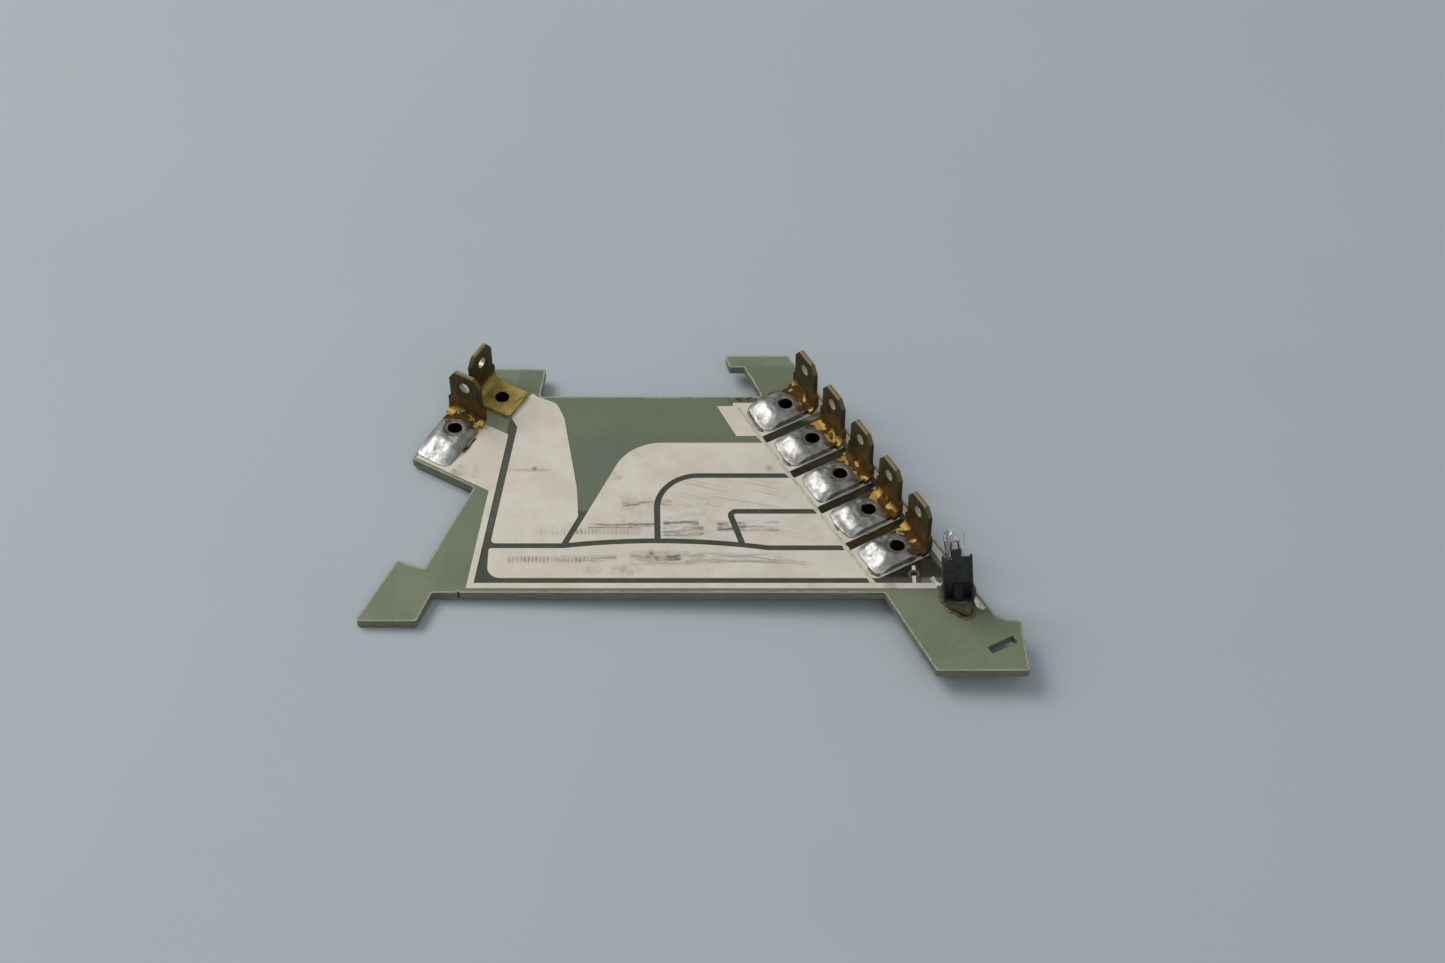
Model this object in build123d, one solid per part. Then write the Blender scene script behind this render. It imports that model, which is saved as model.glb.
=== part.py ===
from build123d import *
import os
from math import acos, cos, radians, sin, tan

# A switch board: a slotted laminate plate with wide tinned tracks, seven upright blade
# terminals riveted and soldered to it, and a small lamp in a twist-in socket.
# Seen from above, +X is to the right along the front edge and +Y points to the back.
# The origin is at the middle of the plate, at the height of the socket's lowest face.

# Plate outline
overall_width = 110.5
overall_depth = 69.2
board_thick = 1.6
edge_slant = 60.0          # lean of both long outer edges and of the row of blades
body_depth = 43.5          # from the back edge of the body to its front edge
body_back = 9.7            # back edge of the body, in front of the tip of the right ear
cut_radius = 0.5           # corner radius left by the blanking die

# Right ear, hooked at its left end
right_ear_width = 11.1
ear_lean = 0.8             # inner side of each ear, from tip to root
hook_width = 2.6
hook_drop = 2.8
neck_step = 3.1

# Left ear and wing
left_ear_back = 3.2        # its back edge, in front of the right ear's
left_ear_width = 10.4
left_ear_offset = 19.0     # its back left corner, from the left end
wing_length = 24.0
wing_width = 12.8
side_slant = 67.5

# Left leg
left_leg_drop = 5.9
left_leg_width = 10.1
left_leg_lean = 2.2
left_leg_shoulder = 12.8
shoulder_drop = 1.8
chip_width = 0.9           # knocked out of the front edge, by the left leg
chip_depth = 0.5
chip_from_leg = 4.0

# Right leg
right_leg_width = 15.2
right_leg_reach = 23.1     # its left root on the front edge, from the right end
toe_rise = 10.2
toe_depth = 3.7
toe_lean = 0.9             # outer side of the toe, from tip to shoulder
toe_ramp = 1.3             # where the right edge bends into the toe's shoulder
toe_ramp_rise = 1.0
shoulder_ramp = 1.4
shoulder_fall = 0.8

# Slot in the right leg and the small hole beside the row
slot_length = 4.9
slot_width = 1.6
slot_turn = 29.0
slot_from_right = 4.2
slot_from_tip = 5.3
pin_hole_radius = 0.5
pin_hole_from_front = 4.0
pin_hole_from_right = 18.1

# Tracks
track_thick = 0.12
etch_gap = 1.05            # bare laminate between neighbouring tracks
line_width = 1.1           # narrow lines to and from the lamp
edge_margin = 0.55
stub_width = 0.6
stub_length = 0.9
feed_slope = 82.5          # of the line up the left side
feed_gap = 1.25            # from that line to the ear track
feed_inset = 1.45          # middle of the line along the front, inside the front edge
feed_from_left = 18.5
bottom_from_left = 21.25
side_gap_slope = 66.0      # gap between the ear track and the second row track
side_gap_from_left = 33.8
side_gap_rise = 7.0
tail_rise = 0.45           # bottom gap at the left, above its level at the row
crown_rise = 1.5
crown_shift = 7.5          # its top, right of the middle between its ends
crown_from_hook = 6.6      # where the gap's right end turns straight
hook_two_from_left = 49.2
hook_two_radius = 7.0
hook_two_lean = 0.4        # foot of that gap, right of its bend
hook_three_from_left = 61.6
hook_three_radius = 0.9
hook_three_lean = 2.4
shoulder_radius = 8.5
bottom_end_radius = 2.3    # left end of the bottom track, back corner
bottom_end_corner = 0.5    # and front corner
top_track_back = 0.75      # top track, from the first pad's corner to its back edge
top_track_step = 3.0
top_track_run = 7.9        # its left end, from the second pad
top_track_lean = 4.5

# Row of blades, along the right edge
blade_count = 5
row_inset = 6.6            # blade holes, inside the right edge
row_start = 10.4           # first blade, from the back end of that edge
pitch = 9.15
pad_gap = 1.7
pad_reach_in = 7.35        # from a blade's hole to the root of its pad
pad_reach_out = 4.0
pad_overlap = 0.4          # each pad runs that far into its track
return_inset = 1.07        # middle of the line back from the lamp, inside the right edge

# Blades
sheet = 0.8
foot_width = 6.3
foot_toe = 3.45            # from the hole to the free end of the foot
foot_corner = 0.6
blade_stand = 4.5          # from the hole to the outer face of the blade
bend_radius = 1.0          # inside of the bend
shoulder_span = 7.3
shoulder_height = 4.2
shoulder_cut = 0.5
blade_width = 6.15
blade_height = 10.85
blade_chamfer = 1.3
blade_chamfer_drop = 1.95
blade_bevel = 0.22
detent_radius = 1.0
detent_height = 7.75
eyelet_radius = 1.25       # bore of the drawn eyelet under the foot
eyelet_wall = 0.4
eyelet_roll = 0.75         # height of the turned lip under the plate
eyelet_reach = 0.75        # its width outside the tube
eyelet_ease = 0.3
eyelet_fit = 0.05
ear_blade_inset = 6.3
ear_blade_from_back = 4.9
wing_blade_inset = 3.25
wing_blade_from_tip = 8.9

# Solder joints
solder_reach = 6.3         # from the hole to the far end, away from the blade
wing_solder_reach = 7.9
solder_span = 7.1
solder_front = 1.6         # from the hole towards the blade
solder_rise = 0.75         # crown above the foot
solder_crest = 2.65        # its highest place, from the hole
solder_draw_in = 0.75      # its sides come in that far from foot to crown
solder_dome = 9.0          # radius of its crown
bore_margin = 0.12         # solder stays this far back from the eyelet's bore
solder_corner = 0.7

# Lamp socket
lamp_inset = 3.2
lamp_drop = 0.7            # its middle, in front of the front edge of the body
holder_below = 3.0
knob_radius = 2.9
lug_radius = 3.1
lug_width = 1.7
lug_thick = 1.2
lug_turn = 75.0
shank_radius = 1.95
shank_fit = 0.08
flange_radius = 3.0
flange_height = 1.9
grip_reach = 4.9           # pointed grips of the flange, from the middle of the socket
grip_height = 1.0
grip_turn = 66.0           # the front grip points forwards and to the right
grip_nose = 0.5
grip_beside_strip = 0.2    # its side next to a contact strip, outside the strip's middle line
holder_width = 5.0
holder_front = 2.4         # from its middle to its front face
holder_back = 1.9
holder_back_top = 7.4      # its back wall is low, its front wall tall
holder_lean = 5.0          # the socket's upright leans to the left
cheek_top = 0.8            # level top of the cheeks, before they slope down
face_recess = 0.2
face_border = 0.5
holder_top = 12.6
window_foot = 2.4
window_head = 6.4
rib_width = 1.5
wall = 0.45
tongue_width = 1.5
tongue_rise = 2.2
post_width = 0.45
post_rise = 0.9
driver_slot = 0.9
driver_depth = 1.2
knob_ease = 0.4
flange_ease = 0.35
shoulder_sink = 0.5        # depth to which the upright is moulded into its flange
window_depth = 0.9

# Contact strips of the socket
strip_width = 0.75
strip_thick = 0.3
strip_offset = 1.1
strip_touch = 3.9          # from the middle of the socket to where it rests on the track
strip_reach = 5.2
strip_rise = 0.85
strip_tip = 0.55
strip_turn = 130.0
strip_root = 0.9           # its buried end, from the middle of the socket
strip_flat = 0.5           # length that lies on the track

# Bulb
bulb_radius = 1.7
glass_wall = 0.3
glass_floor = 0.8
bulb_top = 17.2
bulb_foot = 4.0
wedge_thick = 1.5
wedge_height = 3.4
bulb_fit = 0.1
bulb_lean = 2.5
lead_radius = 0.18
lead_spread = 0.65
filament_drop = 2.5
filament_radius = 0.22
filament_overhang = 0.25

# Cutting shapes reach well past what they cut
reach_past = 2 * holder_top

# Levels; those of the bulb are above the plate
under = holder_below
top = under + board_thick
copper = top + track_thick
bulb_neck = bulb_foot + bulb_fit + wedge_height

# Main lines of the outline
left_x = -overall_width / 2
right_x = overall_width / 2
tip_y = -overall_depth / 2
back_y = overall_depth / 2
body_y = back_y - body_back
front_y = body_y - body_depth
slant_run = 1 / tan(radians(edge_slant))
along = Vector(cos(radians(edge_slant)), -sin(radians(edge_slant)))
outward = Vector(sin(radians(edge_slant)), cos(radians(edge_slant)))
wing_down = Vector(-cos(radians(edge_slant)), -sin(radians(edge_slant)))
wing_in = Vector(sin(radians(edge_slant)), -cos(radians(edge_slant)))

# The right edge runs from the toe of the right leg up to the back edge
toe_top = Vector(right_x - toe_depth - toe_ramp, tip_y + toe_rise + toe_ramp_rise)
edge_end = Vector(toe_top.X - (back_y - toe_top.Y) * slant_run, back_y)

# Corners of the left ear and of the wing
ear_corner = Vector(left_x + left_ear_offset, back_y - left_ear_back)
wing_corner = ear_corner + wing_down * wing_length
wing_root = wing_corner + wing_in * wing_width


def on_edge(distance, inset):
    """A point that far down the right edge and that far inside it."""
    return edge_end + along * distance - outward * inset


def row_point(index, out=0.0):
    """Centre of a blade's hole in the row, or a point that far towards the edge."""
    return on_edge(row_start + index * pitch, row_inset - out)


def flat(points):
    """A face through corner points."""
    return make_face(Polyline(*points, close=True))


def slab(face, bottom, height):
    """A face raised to a level and given a thickness upwards."""
    return extrude(Pos(0, 0, bottom) * face, amount=height, dir=(0, 0, 1))


def strip(path, width):
    """A ribbon of even width along a path."""
    return trace(path, line_width=width)


def outline_points():
    """Corners of the plate, clockwise from the tip of the left leg."""
    leg_y = front_y - left_leg_drop
    leg_lean = left_leg_shoulder / tan(radians(side_slant - 3.0))
    shoulder = Vector(left_x + leg_lean, leg_y + left_leg_shoulder)
    side_foot_y = shoulder.Y - shoulder_drop
    side_run = (wing_root.Y - side_foot_y) / tan(radians(side_slant))
    ear_end = ear_corner + Vector(left_ear_width, 0)
    neck_x = edge_end.X - right_ear_width + hook_width + ear_lean
    toe_left = right_x - right_leg_width
    return [
        Vector(left_x, leg_y),
        shoulder,
        Vector(wing_root.X - side_run, side_foot_y),
        wing_root,
        wing_corner,
        ear_corner,
        ear_end,
        Vector(ear_end.X - ear_lean, body_y),
        Vector(neck_x + neck_step, body_y),
        Vector(neck_x, back_y - hook_drop),
        Vector(neck_x - hook_width, back_y - hook_drop),
        Vector(edge_end.X - right_ear_width, back_y),
        edge_end,
        toe_top,
        Vector(toe_top.X + shoulder_ramp, toe_top.Y - shoulder_fall),
        Vector(right_x - toe_lean, toe_top.Y - toe_ramp_rise),
        Vector(right_x, tip_y),
        Vector(toe_left, tip_y),
        Vector(right_x - right_leg_reach, front_y),
        Vector(left_x + left_leg_width + left_leg_lean, front_y),
        Vector(left_x + left_leg_width, leg_y),
    ]


def outline_face():
    """The plate's outline with its corners eased."""
    return make_face(FilletPolyline(*outline_points(), radius=cut_radius, close=True))


def terminal_places():
    """Hole centre and direction of the blade, in degrees, for each terminal."""
    places = {}
    for index in range(blade_count):
        places[f"row_{index + 1}"] = (row_point(index), 90.0 - edge_slant)
    ear_hole = ear_corner + wing_down * ear_blade_from_back + wing_in * ear_blade_inset
    places["ear"] = (ear_hole, 90.0 + edge_slant)
    wing_hole = wing_corner - wing_down * wing_blade_from_tip + wing_in * wing_blade_inset
    places["wing"] = (wing_hole, edge_slant)
    return places


terminals = terminal_places()
lamp_back = back_y - lamp_inset * outward.Y - (front_y - lamp_drop)
lamp_along = -lamp_back / along.Y
lamp_centre = on_edge(lamp_along, lamp_inset)
pin_hole = Vector(right_x - pin_hole_from_right, front_y + pin_hole_from_front)


def at(place, level=0.0):
    """Location of a terminal: X towards its blade, at a level above the datum."""
    centre, turn = place
    return Pos(centre.X, centre.Y, level) * Rot(0, 0, turn)


def lamp_hole():
    """Round hole with two notches that let the socket's lugs through."""
    hole = Circle(shank_radius + shank_fit)
    notch = Rectangle(2 * (lug_radius + shank_fit), lug_width + 2 * shank_fit)
    notch = Rot(0, 0, -edge_slant) * notch
    return Pos(lamp_centre.X, lamp_centre.Y) * (hole + notch)


def openings_face():
    """Every hole that goes through both the plate and its tracks."""
    eyelet = Circle(eyelet_radius + eyelet_wall + eyelet_fit)
    cuts = lamp_hole()
    for centre, turn in terminals.values():
        cuts += Pos(centre.X, centre.Y) * eyelet
    cuts += Pos(pin_hole.X, pin_hole.Y) * Circle(pin_hole_radius)
    return cuts


holes = openings_face()


def make_board():
    """The laminate plate."""
    slot_at = Pos(right_x - slot_from_right, tip_y + slot_from_tip) * Rot(0, 0, slot_turn)
    slot = slot_at * Rectangle(slot_length, slot_width)
    chip_x = left_x + left_leg_width + left_leg_lean + chip_from_leg
    chip = flat([
        Vector(chip_x, front_y - chip_depth),
        Vector(chip_x + chip_width, front_y - chip_depth),
        Vector(chip_x + 0.4 * chip_width, front_y + chip_depth),
    ])
    return slab(outline_face() - holes - slot - chip, under, board_thick)


# Corners that several tracks share
row_join = [row_point(index - 0.5, -pad_reach_in) for index in range(blade_count + 1)]
gap_lead = Vector(pad_gap * 0.4, 0)
low_join = row_join[blade_count - 1]
hook_two_x = left_x + hook_two_from_left
hook_three_x = left_x + hook_three_from_left
tail_y = low_join.Y + tail_rise
side_low = Vector(left_x + side_gap_from_left, tail_y)
side_up = Vector(cos(radians(side_gap_slope)), sin(radians(side_gap_slope)))
side_half = Vector(etch_gap / 2 / sin(radians(side_gap_slope)), 0)

# The line that feeds the lamp: up the left side and along the front
feed_y = front_y + feed_inset
feed_corner = Vector(left_x + feed_from_left, feed_y)
feed_up = Vector(cos(radians(feed_slope)), sin(radians(feed_slope)))
feed_side = Vector(sin(radians(feed_slope)), -cos(radians(feed_slope)))
track_low = feed_y + line_width / 2 + etch_gap


def feed_edge(aside):
    """A point on the left run of the feed line, moved sideways from its middle."""
    return feed_corner + feed_side * aside


def meet(point, direction, other, heading):
    """Where two straight lines cross."""
    cross = direction.X * heading.Y - direction.Y * heading.X
    gap = other - point
    return point + direction * ((gap.X * heading.Y - gap.Y * heading.X) / cross)


def bottom_gap():
    """Middle of the gap over the bottom track: straight ends and a slow crown."""
    right_bend = Vector(hook_three_x + crown_from_hook, low_join.Y)
    left_bend = Vector(side_low.X, tail_y)
    middle_x = (hook_two_x + side_low.X) / 2 + crown_shift
    middle = Vector(middle_x, low_join.Y + crown_rise)
    ends = Line(low_join + gap_lead, right_bend)
    bow = ThreePointArc(right_bend, middle, left_bend)
    tail = Line(left_bend, Vector(left_x, tail_y))
    return Wire([ends.edge(), bow.edge(), tail.edge()])


def below_bottom_gap():
    """Everything under the middle of the bottom gap, down to the foot of the bottom track."""
    path = bottom_gap()
    left = path @ 1
    right = path @ 0
    sides = Polyline(left, Vector(left.X, track_low), Vector(right.X, track_low), right)
    return make_face(Wire([*path.edges(), *sides.edges()]))


def gap_two():
    """Gap between the second and third row tracks."""
    start = row_join[2]
    corner = Vector(hook_two_x, start.Y)
    end = Vector(hook_two_x + hook_two_lean, low_join.Y + crown_rise)
    return FilletPolyline(start + gap_lead, corner, end, radius=hook_two_radius)


def gap_three():
    """Gap between the third and fourth row tracks."""
    start = row_join[3]
    corner = Vector(hook_three_x, start.Y)
    end = Vector(hook_three_x + hook_three_lean, low_join.Y + etch_gap / 3)
    return FilletPolyline(start + gap_lead, corner, end, radius=hook_three_radius)


def pad_strips():
    """Bare strips between the pads of the row."""
    bars = Sketch()
    reach = pad_reach_in + row_inset
    for index in range(1, blade_count):
        middle = row_point(index - 0.5, reach / 2 - pad_reach_in)
        bar = Rectangle(reach, pad_gap)
        bars += Pos(middle.X, middle.Y) * Rot(0, 0, 90 - edge_slant) * bar
    return bars


def etched():
    """All the bare gaps of the row tracks together."""
    gaps = pad_strips()
    for path in (bottom_gap(), gap_two(), gap_three()):
        gaps += strip(path, etch_gap)
    return gaps


gaps_face = etched()


def pad(index):
    """Pad under one blade of the row, running a little way into its track."""
    length = pad_overlap + pad_reach_in + pad_reach_out
    middle = row_point(index, (pad_reach_out - pad_reach_in - pad_overlap) / 2)
    shape = Rectangle(length, pitch - pad_gap)
    return Pos(middle.X, middle.Y) * Rot(0, 0, 90 - edge_slant) * shape


def main_face(shape):
    """The largest face of a cut-up area; the slivers beside it are etched away."""
    return shape.faces().sort_by(SortBy.AREA)[-1]


def track(area):
    """A track: what the gaps leave of its area, less the holes, as thick as the copper."""
    return slab(main_face(area - gaps_face - holes), top, track_thick)


def make_row_track_1():
    """Top track, with the line down the right edge to the lamp."""
    start = row_join[1]
    corner = row_join[0]
    area = flat([
        start + Vector(-top_track_lean, etch_gap),
        start + Vector(0, etch_gap),
        row_point(0.4, -pad_reach_in + 1.0),
        row_point(-0.3, -pad_reach_in + 3.6),
        corner + Vector(top_track_step, top_track_back),
        corner + Vector(-0.5, top_track_back),
        corner + Vector(-0.5, 0),
        Vector(start.X - top_track_run, corner.Y),
    ])
    line = strip(Line(
        on_edge(row_start - (pitch - pad_gap) / 2, return_inset),
        on_edge(lamp_along + strip_touch, return_inset)), line_width)
    bridge_out = row_inset - return_inset
    middle = row_point(0, (pad_reach_out + bridge_out) / 2)
    bridge = Rectangle(bridge_out - pad_reach_out + 0.2, pitch - pad_gap)
    bridge = Pos(middle.X, middle.Y) * Rot(0, 0, 90 - edge_slant) * bridge
    lead = main_face(area + pad(0) + bridge - gaps_face)
    return slab(lead + line - holes, top, track_thick)


def make_row_track_2():
    """Second track: wide, with a round shoulder at its left."""
    level = row_join[1].Y - etch_gap / 2
    across = Vector(1, 0)
    area = make_face(FilletPolyline(
        side_low + side_half - side_up,
        meet(side_low + side_half, side_up, Vector(0, level), across),
        Vector(row_join[1].X, level),
        row_join[2] + gap_lead,
        Vector(hook_two_x, row_join[2].Y),
        Vector(hook_two_x + hook_two_lean, low_join.Y),
        close=True, radius=[0, shoulder_radius, 0, 0, hook_two_radius, 0]))
    return track(area + pad(1) - below_bottom_gap())


def make_row_track_3():
    """Third track: between the two hooked gaps."""
    area = make_face(FilletPolyline(
        row_join[2] + gap_lead,
        row_join[3] + gap_lead,
        Vector(hook_three_x, row_join[3].Y),
        Vector(hook_three_x + hook_three_lean, low_join.Y),
        Vector(hook_two_x + hook_two_lean, low_join.Y),
        Vector(hook_two_x, row_join[2].Y),
        close=True, radius=[0, 0, hook_three_radius, 0, 0, hook_two_radius]))
    return track(area + pad(2) - below_bottom_gap())


def make_row_track_4():
    """Fourth track: a short block beside the row."""
    area = flat([
        row_join[3] + gap_lead,
        low_join + gap_lead,
        Vector(hook_three_x + hook_three_lean, low_join.Y),
        Vector(hook_three_x, row_join[3].Y),
    ])
    return track(area + pad(3) - below_bottom_gap())


def make_row_track_5():
    """Bottom track: a long bar that the slider runs along, with a rounded left end."""
    left = left_x + bottom_from_left
    window = flat([
        Vector(left, track_low),
        Vector(right_x, track_low),
        Vector(right_x, body_y),
        Vector(left, body_y),
    ])
    joint = flat([
        low_join + gap_lead,
        Vector(low_join.X - 2, low_join.Y),
        Vector(low_join.X - 2, track_low),
        row_join[blade_count] + Vector(0, -1),
        row_join[blade_count] + outward * 0.4,
    ])
    shape = (below_bottom_gap() + joint + pad(blade_count - 1)) & window
    shape = main_face(shape - gaps_face)
    corners = shape.vertices().group_by(Axis.X)[0].sort_by(Axis.Y)
    shape = fillet(corners[0], radius=bottom_end_radius)
    corners = shape.vertices().group_by(Axis.X)[0].sort_by(Axis.Y)
    shape = fillet(corners[-1], radius=bottom_end_corner)
    return slab(shape - holes, top, track_thick)


def make_ear_track():
    """Large track under the ear blade, with its neck going up under the foot."""
    centre, turn = terminals["ear"]
    toe = centre - Vector(cos(radians(turn)), sin(radians(turn))) * foot_toe
    base = Vector(0, tail_y + etch_gap / 2)
    across = Vector(1, 0)
    left = feed_edge(line_width / 2 + feed_gap)
    bend = side_low - side_half + side_up * side_gap_rise
    area = make_face(FilletPolyline(
        meet(left, feed_up, base, across),
        meet(side_low - side_half, side_up, base, across),
        bend,
        bend + Vector(-0.4, 6.2),
        toe + Vector(8.0, -2.5),
        toe + Vector(6.6, 0.9),
        toe + Vector(3.1, 2.5),
        toe + Vector(2.3, 3.3),
        toe + Vector(0.0, 0.8),
        toe + Vector(-1.2, -2.3),
        meet(left, feed_up, toe + Vector(0, -4.6), across),
        close=True, radius=[0.8, 0, 1.0, 4.0, 3.0, 2.2, 0.5, 0.3, 0, 0.3, 0.3]))
    patch = Rectangle(foot_toe + 2.0, foot_width - 0.3)
    patch = at(terminals["ear"]) * (Pos((2.0 - foot_toe) / 2, 0) * patch)
    return slab(area + patch - holes, top, track_thick)


def make_lamp_feed_track():
    """Wing pad and its narrow line round to the lamp."""
    low = wing_corner + wing_in * edge_margin - wing_down * edge_margin
    high = low - wing_down * (wing_blade_from_tip + pad_reach_out - edge_margin)
    outer = feed_edge(-line_width / 2)
    inner = feed_edge(line_width / 2)
    area = flat([
        low,
        meet(low, wing_in, outer, feed_up),
        meet(low, wing_in, inner, feed_up),
        meet(high, wing_in, inner, feed_up),
        high,
    ])
    pad_foot = meet(low, wing_in, feed_corner, feed_up)
    end = Vector(lamp_centre.X - flange_radius + 0.3, feed_y)
    line = strip(Polyline(pad_foot + feed_up, feed_corner, end), line_width)
    stub_middle = Vector(pin_hole.X, (pin_hole.Y + feed_y) / 2)
    stub = Pos(stub_middle.X, stub_middle.Y) * Rectangle(stub_width, pin_hole.Y - feed_y)
    return slab(area + line + stub - holes, top, track_thick)


def make_stub_track():
    """Short stub of copper behind the small hole."""
    middle = pin_hole.Y + pin_hole_radius + 0.25 + stub_length / 2
    return slab(Pos(pin_hole.X, middle) * Rectangle(stub_width, stub_length), top, track_thick)


def blade_profile():
    """Side view of a terminal in X and Z: foot, bend and blade, foot underside at zero."""
    inner = blade_stand - sheet
    path = FilletPolyline(
        (-foot_toe, 0, sheet / 2),
        (inner + sheet / 2, 0, sheet / 2),
        (inner + sheet / 2, 0, blade_height - track_thick),
        radius=bend_radius + sheet / 2)
    return path


def terminal_sheet():
    """The folded sheet, full width, before its sides are trimmed."""
    end = Plane(origin=(-foot_toe, 0, sheet / 2), x_dir=(0, 1, 0), z_dir=(1, 0, 0))
    pen = end * Rectangle(shoulder_span, sheet)
    return sweep(pen, path=blade_profile(), transition=Transition.RIGHT)


def blade_trim():
    """Front view of a terminal in Y and Z: what is kept of the upright part."""
    half = blade_width / 2
    tall = blade_height - track_thick
    shoulder = shoulder_span / 2
    points = [
        (-shoulder, 0),
        (-shoulder, shoulder_height - shoulder_cut),
        (-shoulder + shoulder_cut, shoulder_height),
        (-half, shoulder_height),
        (-half, tall - blade_chamfer_drop),
        (-half + blade_chamfer, tall),
    ]
    mirrored = [(-y, z) for y, z in reversed(points)]
    outline = flat([*points, *mirrored])
    return outline - Pos(0, detent_height) * Circle(detent_radius)


def foot_trim():
    """Plan of the foot: narrower than the shoulders, with eased corners."""
    straight = blade_stand - sheet - bend_radius
    length = straight + foot_toe
    foot = Pos((straight - foot_toe) / 2, 0) * Rectangle(length, foot_width)
    toe_corners = foot.vertices().sort_by(Axis.X)[:2]
    foot = fillet(toe_corners, radius=foot_corner)
    bend = Pos(straight + reach_past / 2, 0) * Rectangle(reach_past, shoulder_span)
    return foot + bend


def eyelet_section():
    """Half section of the drawn eyelet: tube down through the plate, lip turned over below."""
    outer = eyelet_radius + eyelet_wall
    deep = -(track_thick + board_thick)
    lip = outer + eyelet_reach
    bottom = deep - eyelet_roll
    return flat([
        (eyelet_radius, sheet / 2),
        (eyelet_radius, deep),
        (outer, bottom),
        (lip - eyelet_ease, bottom),
        (lip, bottom + eyelet_ease),
        (lip, deep),
        (outer, deep),
        (outer, sheet / 2),
    ])


def terminal_blank():
    """One blade terminal at the origin, foot underside at zero, blade towards +X."""
    tall = blade_height + 1
    bend_start = blade_stand - sheet - bend_radius
    front = Plane(origin=(bend_start, 0, 0), x_dir=(0, 1, 0), z_dir=(1, 0, 0))
    upright = extrude(front * blade_trim(), amount=tall)
    foot_only = Pos(bend_start - reach_past / 2, 0, 0) * Box(reach_past, reach_past, 3 * sheet)
    body = terminal_sheet() & (upright + foot_only)
    body = body & extrude(foot_trim(), amount=tall)
    top_edges = body.edges().filter_by(Axis.Y).group_by(Axis.Z)[-1]
    body = chamfer(top_edges, length=blade_bevel)
    body -= Cylinder(eyelet_radius, 4 * sheet)
    eyelet = revolve(Plane.XZ * eyelet_section(), axis=Axis.Z)
    return body + eyelet


blank = terminal_blank()


def make_terminal(place):
    """A blade terminal standing on its track."""
    return at(place, copper) * blank


def solder_outline(reach):
    """Plan of a solder joint: round at the far end, cut slanting beside the blade."""
    half = solder_span / 2
    return make_face(FilletPolyline(
        (-reach + 1.1, -half),
        (solder_front, -half),
        (solder_front + 0.7, 0.6),
        (0.5, half),
        (-reach + 1.5, half),
        (-reach, half - 0.9),
        (-reach, -half + 0.5),
        close=True, radius=solder_corner))


def make_solder(place, reach=solder_reach):
    """A solder joint wetted over the toe of a foot, with its bore kept open."""
    crest = sheet + solder_rise
    foot = solder_outline(reach)
    crown_size = 1 - 2 * solder_draw_in / solder_span
    blob = loft([foot, Pos(0, 0, crest) * scale(foot, by=crown_size)], ruled=True)
    dome = Pos(-solder_crest, 0, crest - solder_dome) * Rot(90, 0, 0) * Sphere(solder_dome)
    bore = Cylinder(eyelet_radius + bore_margin, 6 * sheet)
    joint = at(place, copper) * ((blob & dome) - bore) - make_terminal(place)
    return joint & slab(outline_face(), under, reach_past)


def socket_lean():
    """Lean of the socket's upright and what it holds, about the top of the flange."""
    pivot = top + flange_height
    return Pos(0, 0, pivot) * Rot(0, -holder_lean, 0) * Pos(0, 0, -pivot)


def bulb_frame():
    """Frame of the bulb in its socket, with the little lean that its play allows."""
    return Pos(0, 0, top + bulb_neck) * Rot(0, -bulb_lean, 0) * Pos(0, 0, -bulb_neck)


def holder_upright():
    """Tall front wall with cheeks that slope down behind it to a low back wall."""
    foot = top + flange_height - shoulder_sink
    side = flat([
        (-holder_front, foot),
        (-holder_front, top + holder_top),
        (-holder_front + cheek_top, top + holder_top),
        (holder_back, top + holder_back_top),
        (holder_back, foot),
    ])
    body = extrude(Plane.YZ * side, amount=holder_width / 2, both=True)
    front_edges = body.edges().filter_by(Axis.Z).group_by(Axis.Y)[0]
    body = fillet(front_edges, radius=wall / 2)
    face = Pos(0, -holder_front, top + window_head + holder_top / 2) * Box(
        holder_width - 2 * face_border, 2 * face_recess, holder_top)
    return body - face


def holder_crown():
    """Tongue in the middle of the front wall, and a post at each of its corners."""
    low = top + holder_top
    sunk = shoulder_sink
    tongue = Pos(0, -holder_front + face_recess + wall / 2, low + (tongue_rise - sunk) / 2)
    crown_part = tongue * Box(tongue_width, wall, tongue_rise + sunk)
    for across in (-1, 1):
        x = across * (holder_width - post_width) / 2
        post = Pos(x, -holder_front + wall / 2, low + (post_rise - sunk) / 2)
        crown_part += post * Box(post_width, wall, post_rise + sunk)
    return crown_part


def holder_windows():
    """Recess low in the front and back, each side of a middle rib."""
    side = (holder_width - 2 * wall - rib_width) / 2
    cuts = Part()
    for across in (-1, 1):
        x = across * (rib_width + side) / 2
        z = top + (window_foot + window_head) / 2
        for y in (-holder_front, holder_back):
            cuts += Pos(x, y, z) * Box(side, 2 * window_depth, window_head - window_foot)
    return cuts


def bulb_bore():
    """Round pocket for the glass, above a slit for its flat base."""
    base = (Align.CENTER, Align.CENTER, Align.MIN)
    bore_radius = bulb_radius + 1.5 * bulb_fit
    tube = Pos(0, 0, bulb_neck - bulb_fit) * Cylinder(bore_radius, reach_past, align=base)
    slit = Pos(0, 0, top + bulb_foot) * Box(
        2 * (bulb_radius + 2 * bulb_fit), wedge_thick + 3 * bulb_fit, wedge_height + 1, align=base)
    return bulb_frame() * tube + slit


def flange_grips():
    """Two pointed grips that run straight off the round flange, half a turn apart."""
    touch = acos(flange_radius / grip_reach)
    free_side = (flange_radius * cos(touch), -flange_radius * sin(touch))
    strip_side = (flange_radius * 0.9, strip_offset + grip_beside_strip)
    shape = make_face(FilletPolyline(
        (0, 0), free_side, (grip_reach, 0), strip_side, close=True, radius=[0, 0, grip_nose, 0]))
    grip = slab(Rot(0, 0, -grip_turn) * shape, copper, grip_height)
    return grip + Rot(0, 0, 180) * grip


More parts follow.
